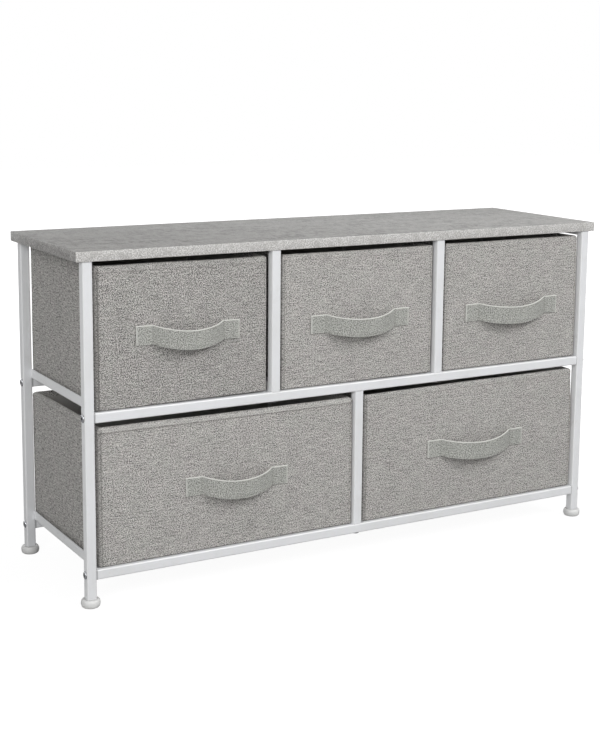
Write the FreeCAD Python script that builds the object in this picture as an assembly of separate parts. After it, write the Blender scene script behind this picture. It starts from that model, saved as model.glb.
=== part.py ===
import FreeCAD, Part
import math
import os

V = FreeCAD.Vector

# A low chest: a steel-tube frame under a laminated board, with three fabric drawers in the
# upper row and two in the lower row.  Millimetres.  X runs left to right along the front, Y from
# the front to the rear, Z up.  The origin is on the floor, in the middle of the overall box.

# ---- tabletop board ----
top_width = 1003.0
top_depth = 305.0
top_thickness = 16.0
top_edge_trim = 1.0         # bevel on every edge of the board

# ---- square tube of the frame ----
tube = 16.0
tube_wall = 1.2
tube_corner = 2.5

# ---- where the frame stands under the board ----
post_side_setback = 10.5
post_face_setback = 2.0
rail_height = 44.0          # floor to the underside of the lower long rails
bay_height = 233.0          # clear height of each row of drawers
upper_bays = 3
lower_bays = 2

# ---- drawer runners: folded steel angles, also used under the tabletop ----
angle_thickness = 1.5
angle_rise = 16.0           # upright leg above the face that the drawer slides on
top_angle_rise = 6.0        # and below the tabletop
angle_reach = 20.0          # flat leg into the bay, from the face of the post
angle_inset = 0.5           # upright leg behind the inner face of the post
angle_bend = 4.0            # outer radius of the fold

# ---- feet ----
foot_height = 13.5
foot_radius = 15.2
foot_bulge = [(0.0, 0.8), (0.07, 0.92), (0.24, 0.985), (0.5, 1.0), (0.76, 0.985), (0.92, 0.92),
              (1.0, 0.82)]    # parts of its height and of its radius
foot_flat_count = 20
spigot_length = 20.0
plug_clearance = 0.2        # between any plug or spigot and the inside of the tube

# ---- end plugs of rails and uprights ----
plug_flange = 1.5
plug_flange_corner = 1.5    # bevel on the flange's four corners
plug_length = 18.0

# ---- fasteners ----
bolt_radius = 3.0
bolt_head_radius = 6.4
bolt_head_height = 2.2
bolt_head_dome = [(0.0, 1.0), (0.6, 0.9), (1.0, 0.5)]   # parts of its height and of its radius
bolt_grip = 15.0            # length of thread inside a plug
round_flat_count = 12       # flats on every small round hole, shank and head
socket_across = 4.0
socket_depth = 1.8
hole_clearance = 0.3        # radial, round every bolt and screw
pilot_clearance = 0.1       # radial, where a thread bites
screw_radius = 1.9
screw_head_radius = 4.0
screw_head_height = 2.0
screw_length = 13.0
screw_end_distance = 55.0   # from a screw to the nearer end of its angle or strap
pin_radius = 3.0            # locating pin on top of each lower upright
pin_height = 4.0

# ---- drawers ----
drawer_recess = 6.0         # drawer front behind the front faces of the posts
drawer_rear_recess = 6.0    # drawer rear in front of the rear faces of the rear posts
drawer_side_gap = 5.5
drawer_top_gap = 9.0
slide_gap = 0.3             # drawer underside above the runners
cloth = 0.8
lining = 0.6
board = 3.0
board_clearance = 0.1
bottom_clearance = 1.0      # round the loose bottom board
lining_lift = 0.3           # lining's lower hem above the cloth floor

# ---- strap handles ----
strap_height = 31.0
strap_thickness = 2.5
strap_length = 190.0
strap_tab = 29.0
strap_bow = 20.0            # how far the strap stands out in the middle
strap_sag = 9.0             # how far it hangs down in the middle
strap_blend = 8.0           # radius where the bow leaves each tab
strap_drop = 116.0          # strap's middle line below the drawer's top edge

# ---- heights and edges that follow ----
lower_run = rail_height + tube
upper_run = lower_run + bay_height + tube
frame_top = upper_run + bay_height
overall_height = frame_top + top_thickness
drawer_height = bay_height - drawer_top_gap - slide_gap

strap_tilt = math.atan2(strap_sag, strap_bow)
strap_out = math.hypot(strap_bow, strap_sag)
strap_reach = (strap_out + strap_thickness) * math.cos(strap_tilt)
foot_overhang = max(foot_radius - tube / 2 - post_face_setback, 0.0)
strap_overhang = max(strap_reach - drawer_recess - post_face_setback, foot_overhang)
top_front = (strap_overhang - foot_overhang - top_depth) / 2
post_front = top_front + post_face_setback
post_rear = top_front + top_depth - post_face_setback
drawer_front = post_front + drawer_recess
drawer_depth = post_rear - drawer_rear_recess - drawer_front
frame_side = top_width / 2 - post_side_setback
bay_side = frame_side - tube
tube_bore = tube - 2 * tube_wall
plug_side = tube_bore - 2 * plug_clearance
hole_radius = bolt_radius + hole_clearance
drill_length = 2 * tube     # every drilled hole starts and ends clear of the wall it goes through
row_runs = {"lower": lower_run, "upper": upper_run}


def bay_edges(count):
    """Left and right clear edge of each bay in a row of `count` equal bays."""
    clear = (2 * bay_side - (count - 1) * tube) / count
    starts = [-bay_side + i * (clear + tube) for i in range(count)]
    return [(x, x + clear) for x in starts]


def labels(count):
    """Names, left to right, for the bays or the dividers of one row."""
    plain = {1: ["middle"], 2: ["left", "right"], 3: ["left", "middle", "right"]}
    return plain.get(count, [f"number_{i + 1}" for i in range(count)])


bays = {"upper": bay_edges(upper_bays), "lower": bay_edges(lower_bays)}
bay_names = {row: labels(len(edges)) for row, edges in bays.items()}
divider_names = {row: labels(len(edges) - 1) for row, edges in bays.items()}
ends = {"front": post_front + tube / 2, "rear": post_rear - tube / 2}
sides = {"left": -1, "right": 1}


# ---- basic forms ----
def box(x0, x1, y0, y1, z0, z1):
    return Part.makeBox(x1 - x0, y1 - y0, z1 - z0, V(x0, y0, z0))


def ring(radius, centre, direction=V(0, 0, 1), flats=round_flat_count):
    """Outline of a small round thing, drawn with flats to keep many small pieces light."""
    turn = FreeCAD.Rotation(V(0, 0, 1), direction)
    angles = [2 * math.pi * i / flats for i in range(flats + 1)]
    return Part.makePolygon([centre + turn.multVec(V(radius * math.cos(a), radius * math.sin(a), 0))
                             for a in angles])


def shank(radius, length, start, direction=V(0, 0, 1)):
    """Small round bar that stays within its radius."""
    return Part.Face(ring(radius, start, direction)).extrude(direction * length)


def bore(radius, length, start, direction=V(0, 0, 1)):
    """Small round hole, to be cut, that is nowhere narrower than its radius."""
    return shank(radius / math.cos(math.pi / round_flat_count), length, start, direction)


def arc(centre, radius, first, last, plane):
    """Edge of a circle between two angles in degrees; `plane` turns (a, b) into a point."""
    def at(degrees):
        turn = math.radians(degrees)
        return plane(centre[0] + radius * math.cos(turn), centre[1] + radius * math.sin(turn))
    return Part.Arc(at(first), at((first + last) / 2), at(last)).toShape()


def closed_face(edges):
    """Face inside a row of edges, with straight edges added across any gaps."""
    joined = []
    for here, following in zip(edges, edges[1:] + edges[:1]):
        joined.append(here)
        gap_start, gap_end = here.Vertexes[-1].Point, following.Vertexes[0].Point
        if (gap_end - gap_start).Length > 1e-6:
            joined.append(Part.makeLine(gap_start, gap_end))
    return Part.Face(Part.Wire(joined))


def square_bar(side, corner, length):
    """Square bar with rounded corners, standing on the origin along +Z."""
    inner = side / 2 - corner
    corners = [(inner, inner, 0), (-inner, inner, 90), (-inner, -inner, 180), (inner, -inner, 270)]
    edges = [arc((x, y), corner, start, start + 90, lambda a, b: V(a, b, 0))
             for x, y, start in corners]
    return closed_face(edges).extrude(V(0, 0, length))


def square_tube(length):
    half = tube_bore / 2
    return square_bar(tube, tube_corner, length).cut(box(-half, half, -half, half, 0, length))


def along_x(shape, direction=1):
    """Turn a shape built along +Z so that it runs along +X, or -X."""
    shape.rotate(V(0, 0, 0), V(0, 1, 0), 90 * direction)
    return shape


def moved(shape, x, y, z):
    copy = shape.copy()
    copy.translate(V(x, y, z))
    return copy


# ---- frame pieces ----
def tabletop():
    slab = box(-top_width / 2, top_width / 2, top_front, top_front + top_depth,
               frame_top, overall_height)
    slab = slab.makeChamfer(top_edge_trim, slab.Edges)
    for x, y in top_screw_places():
        slab = slab.cut(bore(screw_radius + pilot_clearance, screw_length, V(x, y, frame_top)))
    return slab


def post(side, end):
    """Post of one corner: tube from foot to board, drilled through for the two rail bolts."""
    x = side * (frame_side - tube / 2)
    shape = moved(square_tube(frame_top - foot_height), x, ends[end], foot_height)
    for run in row_runs.values():
        start = V(x - drill_length / 2, ends[end], run - tube / 2)
        shape = shape.cut(bore(hole_radius, drill_length, start, V(1, 0, 0)))
    return shape


def long_rail(row, end):
    """Rail from post to post, between its end plugs, drilled for the uprights it carries."""
    run = row_runs[row]
    length = 2 * (bay_side - plug_flange)
    shape = moved(along_x(square_tube(length)), -length / 2, ends[end], run - tube / 2)
    for x in divider_places(row):
        start = V(x, ends[end], run - tube / 2 - drill_length / 2)
        shape = shape.cut(bore(hole_radius, drill_length, start))
    if row == "upper":
        for x in divider_places("lower"):
            start = V(x, ends[end], run - tube - drill_length / 2)
            shape = shape.cut(bore(pin_radius + hole_clearance, drill_length / 2 + tube / 2, start))
    return shape


def divider_places(row):
    return [right + tube / 2 for left, right in bays[row][:-1]]


def divider(row, x, end):
    """Upright from the rail below it to the rail or board above it."""
    return moved(square_tube(bay_height), x, ends[end], row_runs[row])


def plug(flange):
    """End plug along +Z: a flange outside the tube, a square body inside, a threaded hole."""
    half = plug_side / 2
    body = box(-half, half, -half, half, 0, plug_length + flange)
    if flange:
        rim = box(-tube / 2, tube / 2, -tube / 2, tube / 2, 0, flange)
        uprights = [edge for edge in rim.Edges if abs(edge.tangentAt(edge.FirstParameter).z) > 0.5]
        body = body.fuse(rim.makeChamfer(plug_flange_corner, uprights))
    return body.cut(bore(bolt_radius + pilot_clearance, bolt_grip + flange, V(0, 0, 0)))


def rail_end_plugs():
    plugs = []
    for run in row_runs.values():
        for y in ends.values():
            for side in sides.values():
                part = along_x(plug(plug_flange), -side)
                plugs.append(moved(part, side * bay_side, y, run - tube / 2))
    return plugs


def divider_plugs():
    return [moved(plug(0.0), x, y, row_runs[row])
            for row in bays for x in divider_places(row) for y in ends.values()]


def locating_plugs():
    """Plugs in the tops of the lower uprights, each with a pin into the rail above."""
    plugs = []
    for x in divider_places("lower"):
        for y in ends.values():
            top = upper_run - tube
            half = plug_side / 2
            body = box(x - half, x + half, y - half, y + half, top - plug_length, top)
            plugs.append(body.fuse(shank(pin_radius, pin_height, V(x, y, top))))
    return plugs


def angle(x_face, side, z_face, rise, y0, y1):
    """Folded steel angle along Y.  Its upright leg stands inside the face x_face of a post or
    upright, its flat leg reaches into the bay on the `side` away from that face, and its long
    flat face lies at z_face, with the upright leg going up from it by `rise`, or down if that
    is negative."""
    lift = math.copysign(1, rise)

    def at(across, up):
        return V(x_face + side * (across - angle_inset), y0, z_face + lift * up)

    t = angle_thickness
    centre = (angle_bend - t, angle_bend - t)
    outer = arc(centre, angle_bend, 180, 270, at)
    inner = arc(centre, angle_bend - t, 270, 180, at)
    flat_end = angle_reach + angle_inset
    edges = [outer,
             Part.makeLine(at(flat_end, -t), at(flat_end, 0)),
             inner,
             Part.makeLine(at(0, abs(rise)), at(-t, abs(rise)))]
    return closed_face(edges).extrude(V(0, y1 - y0, 0))


def runner(row, x_face, side):
    """Runner between the front and rear posts or uprights, flush with the long rails' tops."""
    return angle(x_face, side, row_runs[row], angle_rise, post_front + tube, post_rear - tube)


def top_screw_rows():
    """X of each row of screws into the board: two side angles and the straps of the dividers."""
    side_row = bay_side - angle_reach / 2
    return [-side_row] + divider_places("upper") + [side_row]


def top_screw_places():
    y_places = [post_front + tube + screw_end_distance, post_rear - tube - screw_end_distance]
    return [(x, y) for x in top_screw_rows() for y in y_places]


def screw_holes(shape):
    for x, y in top_screw_places():
        start = V(x, y, frame_top - drill_length / 2)
        shape = shape.cut(bore(screw_radius + hole_clearance, drill_length, start))
    return shape


def top_angle(side):
    return screw_holes(angle(side * bay_side, -side, frame_top - angle_thickness, -top_angle_rise,
                             post_front + tube, post_rear - tube))


def top_strap(x):
    half = tube / 2 - angle_inset
    return screw_holes(box(x - half, x + half, post_front + tube, post_rear - tube,
                           frame_top - angle_thickness, frame_top))


def foot(side, end):
    """Moulded foot: a bulging ring under the tube and a square spigot inside it."""
    shape = Part.makeLoft([ring(foot_radius * wide, V(0, 0, foot_height * up), flats=foot_flat_count)
                           for up, wide in foot_bulge], True, True)
    half = plug_side / 2
    spigot = box(-half, half, -half, half, foot_height, foot_height + spigot_length)
    return moved(shape.fuse(spigot), side * (frame_side - tube / 2), ends[end], 0)


# ---- fasteners ----
def domed_bolt(grip):
    """Domed bolt, head below the origin and shank along +Z; `grip` is its length under the head."""
    head = Part.makeLoft([ring(bolt_head_radius * wide, V(0, 0, -bolt_head_height * down))
                          for down, wide in bolt_head_dome], True, True)
    corner = socket_across / math.sqrt(3)
    corners = [V(corner * math.cos(math.radians(60 * i)), corner * math.sin(math.radians(60 * i)),
                 -bolt_head_height) for i in range(7)]
    socket = Part.Face(Part.makePolygon(corners)).extrude(V(0, 0, socket_depth))
    return head.cut(socket).fuse(shank(bolt_radius, grip, V(0, 0, 0)))


def frame_bolts():
    """Bolts through the posts into the plugs of the long rails."""
    bolt = domed_bolt(tube + plug_flange + bolt_grip)
    return [moved(along_x(bolt.copy(), -side), side * frame_side, y, run - tube / 2)
            for run in row_runs.values() for y in ends.values() for side in sides.values()]


def divider_bolts():
    """Bolts up through the long rails into the plugs of the uprights."""
    bolt = domed_bolt(tube + bolt_grip)
    return [moved(bolt, x, y, row_runs[row] - tube)
            for row in bays for x in divider_places(row) for y in ends.values()]


def top_screws():
    head = shank(screw_head_radius, screw_head_height, V(0, 0, -screw_head_height))
    screw = head.fuse(shank(screw_radius, screw_length, V(0, 0, 0)))
    return [moved(screw, x, y, frame_top - angle_thickness) for x, y in top_screw_places()]


# ---- drawer pieces, each placed in its bay ----
wall = cloth + board + 2 * board_clearance + lining
pocket = board + 2 * board_clearance


def drawer_box(row, bay, inset, z0, z1):
    """Box inside a drawer's outer faces by `inset` all round, between two heights above its
    underside."""
    left, right = bay
    base = row_runs[row] + slide_gap
    return box(left + drawer_side_gap + inset, right - drawer_side_gap - inset,
               drawer_front + inset, drawer_front + drawer_depth - inset, base + z0, base + z1)


def drawer_cover(row, bay):
    """Sewn cover: cloth outside and underneath, turned over the boards at the top, lining inside."""
    hem = drawer_height - cloth
    skin = drawer_box(row, bay, 0, 0, drawer_height)
    skin = skin.cut(drawer_box(row, bay, cloth, cloth, hem))
    skin = skin.cut(drawer_box(row, bay, wall, hem, drawer_height))
    inside = drawer_box(row, bay, cloth + pocket, cloth + lining_lift, hem)
    inside = inside.cut(drawer_box(row, bay, wall, 0, drawer_height))
    return skin.fuse(inside).removeSplitter()


def drawer_boards(row, bay):
    """Stiffening boards in the four walls, the side ones standing between front and rear."""
    outer = cloth + board_clearance
    top = drawer_height - cloth - board_clearance
    limits = drawer_box(row, bay, outer, cloth, top).BoundBox
    x0, x1, y0, y1, z0, z1 = (limits.XMin, limits.XMax, limits.YMin, limits.YMax, limits.ZMin, limits.ZMax)
    between = board + board_clearance
    return [box(x0, x1, y0, y0 + board, z0, z1),
            box(x0, x1, y1 - board, y1, z0, z1),
            box(x0, x0 + board, y0 + between, y1 - between, z0, z1),
            box(x1 - board, x1, y0 + between, y1 - between, z0, z1)]


def drawer_bottom(row, bay):
    return drawer_box(row, bay, wall + bottom_clearance, cloth, cloth + board)


def strap_handle(row, bay):
    """Fabric strap: two flat tabs sewn to the drawer front and a bow between them, which stands
    out and hangs down a little in the middle."""
    middle_x = (bay[0] + bay[1]) / 2
    low_z = row_runs[row] + slide_gap + drawer_height - strap_drop - strap_height / 2

    def at(across, out):
        return V(middle_x + across, drawer_front - out * math.cos(strap_tilt),
                 low_z - out * math.sin(strap_tilt))

    half = strap_thickness / 2
    tab_end = strap_length / 2
    span = tab_end - strap_tab
    turn = 2 * math.atan(strap_out / span)
    degrees = math.degrees(turn)
    bow_radius = span / math.sin(turn) - strap_blend
    bow_centre = (0, half + strap_out - bow_radius)

    def curve(offset):
        """Tangent arcs of the bow, left to right, on the face that lies `offset` outside the
        middle of the strap: blend out of the left tab, bow, blend into the right tab."""
        return [((-span, half + strap_blend), strap_blend - offset, -90, degrees - 90),
                (bow_centre, bow_radius + offset, 90 + degrees, 90 - degrees),
                ((span, half + strap_blend), strap_blend - offset, -90 - degrees, -90)]

    edges = [arc(centre, radius, first, last, at) for centre, radius, first, last in curve(half)]
    edges.append(Part.makeLine(at(tab_end, strap_thickness), at(tab_end, 0)))
    edges += [arc(centre, radius, last, first, at)
              for centre, radius, first, last in reversed(curve(-half))]
    edges.append(Part.makeLine(at(-tab_end, 0), at(-tab_end, strap_thickness)))
    return closed_face(edges).extrude(V(0, 0, strap_height))


# ---- every node, by name ----
def frame_nodes():
    nodes = {"tabletop": tabletop()}
    for side_name, side in sides.items():
        for end in ends:
            nodes[f"post_{end}_{side_name}"] = post(side, end)
        nodes[f"top_angle_{side_name}"] = top_angle(side)
    for row in bays:
        for end in ends:
            nodes[f"rail_{row}_{end}"] = long_rail(row, end)
        for name, x in zip(divider_names[row], divider_places(row)):
            for end in ends:
                nodes[f"divider_{row}_{name}_{end}"] = divider(row, x, end)
            if row == "upper":
                nodes[f"top_strap_{name}"] = top_strap(x)
        for name, (left, right) in zip(bay_names[row], bays[row]):
            nodes[f"runner_{row}_{name}_a"] = runner(row, left, 1)
            nodes[f"runner_{row}_{name}_b"] = runner(row, right, -1)
    nodes["feet"] = [foot(side, end) for side in sides.values() for end in ends]
    nodes["rail_end_plugs"] = rail_end_plugs()
    nodes["divider_plugs"] = divider_plugs()
    nodes["locating_plugs"] = locating_plugs()
    nodes["frame_bolts"] = frame_bolts()
    nodes["divider_bolts"] = divider_bolts()
    nodes["top_screws"] = top_screws()
    return nodes


def drawer_nodes():
    nodes = {}
    for row in bays:
        for name, bay in zip(bay_names[row], bays[row]):
            drawer = f"{row}_{name}"
            nodes[f"cover_{drawer}"] = drawer_cover(row, bay)
            nodes[f"boards_{drawer}"] = drawer_boards(row, bay)
            nodes[f"bottom_{drawer}"] = drawer_bottom(row, bay)
            nodes[f"handle_{drawer}"] = strap_handle(row, bay)
    return nodes


os.makedirs("parts", exist_ok=True)
for node, shape in {**frame_nodes(), **drawer_nodes()}.items():
    if isinstance(shape, list):
        shape = Part.makeCompound(shape)
    shape.exportStep(f"parts/{node}.step")
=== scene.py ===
import math

import bmesh
import bpy
from mathutils import Matrix, Vector, noise


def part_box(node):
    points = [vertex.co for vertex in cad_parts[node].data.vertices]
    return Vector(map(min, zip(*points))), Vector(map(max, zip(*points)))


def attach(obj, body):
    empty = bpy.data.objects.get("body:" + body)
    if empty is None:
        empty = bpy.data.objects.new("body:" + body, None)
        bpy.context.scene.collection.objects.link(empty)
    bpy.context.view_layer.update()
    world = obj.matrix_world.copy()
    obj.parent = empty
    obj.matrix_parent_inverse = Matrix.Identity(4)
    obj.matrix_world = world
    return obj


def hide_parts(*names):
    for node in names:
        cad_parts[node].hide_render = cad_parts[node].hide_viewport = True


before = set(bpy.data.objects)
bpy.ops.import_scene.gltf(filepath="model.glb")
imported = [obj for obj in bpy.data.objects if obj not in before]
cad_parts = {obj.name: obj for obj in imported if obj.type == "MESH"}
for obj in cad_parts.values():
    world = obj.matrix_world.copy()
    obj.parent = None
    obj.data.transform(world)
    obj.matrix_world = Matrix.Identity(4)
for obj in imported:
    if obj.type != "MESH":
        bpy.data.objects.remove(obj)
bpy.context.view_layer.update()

MM = 0.001


# ---- Steel frame -------------------------------------------------------------------------
# Posts, long rails and uprights of 16 mm square steel tube, with folded steel runners and
# angles welded between them.  All of it has a thick white powder coat, faintly dimpled, which
# is a little duller where hands and cloth have rubbed it.  Its rounded corners get a painted
# highlight, and its faces that point sideways are painted lighter, as painted light.

class Value:
    """A shader socket.  Arithmetic on it adds Math nodes to the same material."""

    def __init__(self, socket):
        self.socket = socket

    def node(self, kind, settings, sockets, output=0):
        """Add a node: its settings first, then its sockets.  Gives one output of it.  Sockets and
        the output go by name, or by number where names are shared."""
        tree = self.socket.id_data
        made = tree.nodes.new(kind)
        for name, setting in settings.items():
            setattr(made, name, setting)
        for key, value in sockets.items():
            if isinstance(value, Value):
                tree.links.new(value.socket, made.inputs[key])
            else:
                made.inputs[key].default_value = value
        return Value(made.outputs[output]) if made.outputs else None

    def math(self, operation, *others):
        values = dict(enumerate((self,) + others))
        return self.node("ShaderNodeMath", {"operation": operation}, values)

    def __add__(self, other):
        return self.math("ADD", other)

    def __sub__(self, other):
        return self.math("SUBTRACT", other)

    def __mul__(self, other):
        return self.math("MULTIPLY", other)

    def __rsub__(self, other):
        return self.node("ShaderNodeMath", {"operation": "SUBTRACT"}, {0: other, 1: self})

    __radd__ = __add__
    __rmul__ = __mul__

    def part(self, index):
        """X, Y or Z of this vector: 0, 1 or 2."""
        return self.node("ShaderNodeSeparateXYZ", {}, {"Vector": self}, index)

    def stretched(self, x, y, z=1.0):
        """This vector, each part of it times its own factor."""
        return self.node("ShaderNodeVectorMath", {"operation": "MULTIPLY"}, {0: self, 1: (x, y, z)})

    def cloud(self, scale, detail=2.0, roughness=0.5):
        """Noise about 0.5 over this vector."""
        sockets = {"Vector": self, "Scale": scale, "Detail": detail, "Roughness": roughness}
        return self.node("ShaderNodeTexNoise", {}, sockets)

    def between(self, low, high, to_low=0.0, to_high=1.0):
        """This value's way from low to high, smoothly, as a value from to_low to to_high."""
        sockets = {"Value": self, "From Min": low, "From Max": high,
                   "To Min": to_low, "To Max": to_high}
        return self.node("ShaderNodeMapRange", {"interpolation_type": "SMOOTHSTEP"}, sockets)

    def mix(self, first, second):
        """The first colour where this value is 0, and the second where it is 1."""
        return self.node("ShaderNodeMix", {"data_type": "RGBA"}, {0: self, 6: first, 7: second}, 2)

    def bump(self, depth, strength=1.0):
        """Normal of a surface with this height, depth metres from 0 to 1."""
        sockets = {"Height": self, "Distance": depth, "Strength": strength}
        return self.node("ShaderNodeBump", {}, sockets)


def tone(red, green, blue):
    """A colour given from 0 to 255 as a screen shows it, as the shader's linear values."""
    shares = [part / 255 for part in (red, green, blue)]
    linear = [s / 12.92 if s <= 0.04045 else ((s + 0.055) / 1.055) ** 2.4 for s in shares]
    return (*linear, 1.0)


def new_material(name):
    """An empty material, and the object coordinates in it, in metres."""
    made = bpy.data.materials.new(name)
    made.use_nodes = True
    made.node_tree.nodes.clear()
    coordinates = made.node_tree.nodes.new("ShaderNodeTexCoord")
    return made, Value(coordinates.outputs["Object"])


def coat(place, sockets):
    """Close a material with one principled shader."""
    shader = place.node("ShaderNodeBsdfPrincipled", {}, sockets)
    place.node("ShaderNodeOutputMaterial", {}, {"Surface": shader})


def dress(node_names, material):
    """Give CAD nodes that keep their own shape a material."""
    for name in node_names:
        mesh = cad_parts[name].data
        mesh.materials.clear()
        mesh.materials.append(material)


def powder_coat():
    material, place = new_material("white_powder_coat")
    dimples = place.cloud(900.0, 2.0, 0.6)
    waves = place.cloud(160.0, 1.0)
    rubbed = place.cloud(9.0, 4.0, 0.6).between(0.42, 0.68)
    dust = place.cloud(45.0, 3.0, 0.7).between(0.55, 0.75, 0.0, 0.35)
    normal = place.node("ShaderNodeNewGeometry", {}, {}, "Normal")
    flatness = normal.node("ShaderNodeVectorMath", {"operation": "ABSOLUTE"}, {0: normal})
    sideways, lengthways, upwards = (flatness.part(i) for i in range(3))
    squareness = sideways.math("MAXIMUM", lengthways).math("MAXIMUM", upwards)
    # Painted highlight: the rounded corners are mixed towards near white, and they are also a little
    # glossier.
    corner_painted_highlight = squareness.between(0.8, 0.985, 1.0, 0.0)
    colour = rubbed.mix(tone(224, 225, 227), tone(219, 220, 221))
    # Painted light: faces that point sideways, along X, are painted lighter than the rest of the coat.
    colour = sideways.between(0.9, 0.99).mix(colour, tone(240, 241, 242))
    colour = dust.mix(colour, tone(213, 213, 212))
    coat(place, {"Base Color": (corner_painted_highlight * 0.45).mix(colour, tone(250, 250, 250)),
                 "Roughness": rubbed * 0.12 + dimples * 0.1 + 0.3 - corner_painted_highlight * 0.1,
                 "Specular IOR Level": 0.5,
                 "Normal": (dimples * 0.7 + waves).bump(0.00005, 0.6)})
    return material


upright_nodes = [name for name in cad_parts
                 if name.startswith("divider_") and name.endswith(("front", "rear"))]
other_steel = [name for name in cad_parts
               if name.startswith(("post_", "rail_upper", "rail_lower", "runner_", "top_angle_",
                                   "top_strap_"))]
dress(upright_nodes + other_steel, powder_coat())


# ---- End plugs ---------------------------------------------------------------------------
# Moulded white plastic plugs in the ends of the rails and uprights, each with a thin flange
# against the post and a threaded hole for its bolt.  They are pushed in by hand.  They are drawn
# light grey, as painted shade, so that each flange reads as the shaded line of the joint.

def moulded_plastic(name, colour, soiled, floor_reach):
    """Matt moulded plastic with a fine spark-eroded skin, soiled below floor_reach."""
    material, place = new_material(name)
    skin = place.cloud(1500.0, 2.0, 0.7)
    patches = place.cloud(260.0, 3.0, 0.6)
    dirt = (place.part(2) + patches * 0.003).between(0.0005, floor_reach, 0.75, 0.0)
    coat(place, {"Base Color": dirt.mix(colour, soiled),
                 "Roughness": skin * 0.15 + 0.42,
                 "Normal": skin.bump(0.00003, 0.5)})
    return material


# Light grey, as painted shade in the joints at the ends of the rails and uprights.
plug_painted_shade_grey = moulded_plastic("plug_plastic", tone(178, 179, 180), tone(176, 175, 173), 0.002)
dress(["rail_end_plugs", "divider_plugs", "locating_plugs"], plug_painted_shade_grey)


# ---- Feet --------------------------------------------------------------------------------
# Four moulded plastic glides, each a flat bulging ring with a sunken top, where the tube
# stands over its square spigot.  Off-white, and a little soiled near the floor.

def spun(profile, steps):
    """A bmesh spun about Z from (radius, height) points in millimetres."""
    bm = bmesh.new()
    points = [bm.verts.new((radius * MM, 0.0, height * MM)) for radius, height in profile]
    edges = [bm.edges.new(pair) for pair in zip(points, points[1:])]
    bmesh.ops.spin(bm, geom=points + edges, cent=(0, 0, 0), axis=(0, 0, 1), dvec=(0, 0, 0),
                   angle=2 * math.pi, steps=steps, use_merge=True, use_duplicate=False)
    bmesh.ops.remove_doubles(bm, verts=bm.verts, dist=1e-7)
    return bm


def copies(template, placements):
    """One bmesh with a copy of the template at each placement matrix."""
    source = bpy.data.meshes.new("template")
    template.to_mesh(source)
    template.free()
    whole = bmesh.new()
    for placement in placements:
        known = len(whole.verts)
        whole.from_mesh(source)
        whole.verts.ensure_lookup_table()
        bmesh.ops.transform(whole, matrix=placement, verts=whole.verts[known:])
    bpy.data.meshes.remove(source)
    return whole


def make_piece(name, bm, materials, body, stands_for=(), crease=None):
    """Turn a finished bmesh into a piece that rides on a body; crease is an angle in degrees
    past which its edges stay sharp."""
    mesh = bpy.data.meshes.new(name)
    bm.to_mesh(mesh)
    bm.free()
    mesh.polygons.foreach_set("use_smooth", [True] * len(mesh.polygons))
    if crease:
        mesh.set_sharp_from_angle(angle=math.radians(crease))
    for material in materials:
        mesh.materials.append(material)
    piece = bpy.data.objects.new(name, mesh)
    bpy.context.scene.collection.objects.link(piece)
    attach(piece, body)
    if stands_for:
        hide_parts(*stands_for)
    return piece


def outward(bm):
    bmesh.ops.recalc_face_normals(bm, faces=bm.faces)
    return bm


def block(low, high):
    """A bmesh box between two corners."""
    bm = bmesh.new()
    size = Vector(high) - Vector(low)
    middle = (Vector(high) + Vector(low)) / 2
    placement = Matrix.Translation(middle) @ Matrix.Diagonal((*size, 1.0))
    bmesh.ops.create_cube(bm, size=1.0, matrix=placement)
    return bm


def absorb(bm, other):
    """Add a copy of another bmesh to a bmesh, and free the other."""
    mesh = bpy.data.meshes.new("passing")
    other.to_mesh(mesh)
    other.free()
    bm.from_mesh(mesh)
    bpy.data.meshes.remove(mesh)


def centre_of(node):
    low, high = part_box(node)
    return (low + high) / 2


FOOT_PROFILE = [(0, 0), (10.9, 0), (12.1, 0.25), (13.2, 0.9), (14.1, 1.9), (14.6, 3.1), (14.75, 4.0),
                (14.9, 4.35), (15.15, 5.2), (15.2, 7.6), (15.05, 9.4), (14.6, 11.0), (13.9, 12.2),
                (13.1, 13.0), (12.5, 13.35), (12.0, 13.3), (11.7, 12.9), (11.6, 12.5), (0, 12.5)]
FOOT_STEPS = 36
SPIGOT_HALF = 6.6 * MM
SPIGOT_BASE = 12.5 * MM
SPIGOT_TOP = 33.5 * MM
CORNERS = [(end, side) for side in ("left", "right") for end in ("front", "rear")]


def feet():
    foot = spun(FOOT_PROFILE, FOOT_STEPS)
    half = SPIGOT_HALF
    absorb(foot, block((-half, -half, SPIGOT_BASE), (half, half, SPIGOT_TOP)))
    places = [centre_of(f"post_{end}_{side}") for end, side in CORNERS]
    return outward(copies(foot, [Matrix.Translation((p.x, p.y, 0)) for p in places]))


foot_plastic = moulded_plastic("foot_plastic", tone(221, 221, 220), tone(176, 173, 168), 0.006)
make_piece("foot_glides", feet(), [foot_plastic], "frame", ["feet"], crease=50)


# ---- Bolts and screws --------------------------------------------------------------------
# Domed M6 bolts with a hexagon socket go through the posts and long rails into the end plugs,
# and pan-head wood screws with a cross recess hold the board.  All bright zinc-plated steel,
# with painted shade in each recess and a painted shadow round the rim of each head.

# All in millimetres.  The profiles are of a head, from its shank outwards and over the top.
BOLT_PROFILE = [(3.0, 0), (6.2, 0), (6.4, 0.25), (6.35, 0.7), (5.95, 1.25), (5.2, 1.72), (4.1, 2.05),
                (2.75, 2.2)]
SOCKET_HALF, SOCKET_DEPTH = 2.0, 1.8
POST_BOLT_LENGTH, UPRIGHT_BOLT_LENGTH = 32.0, 30.0
SCREW_PROFILE = [(1.9, 0), (3.8, 0), (4.0, 0.3), (3.9, 0.9), (3.4, 1.6), (2.6, 2.0)]
CROSS_REACH, CROSS_DEPTH = 2.1, 1.2
SCREW_LENGTH = 13.0
FASTENER_STEPS = 24

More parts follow.
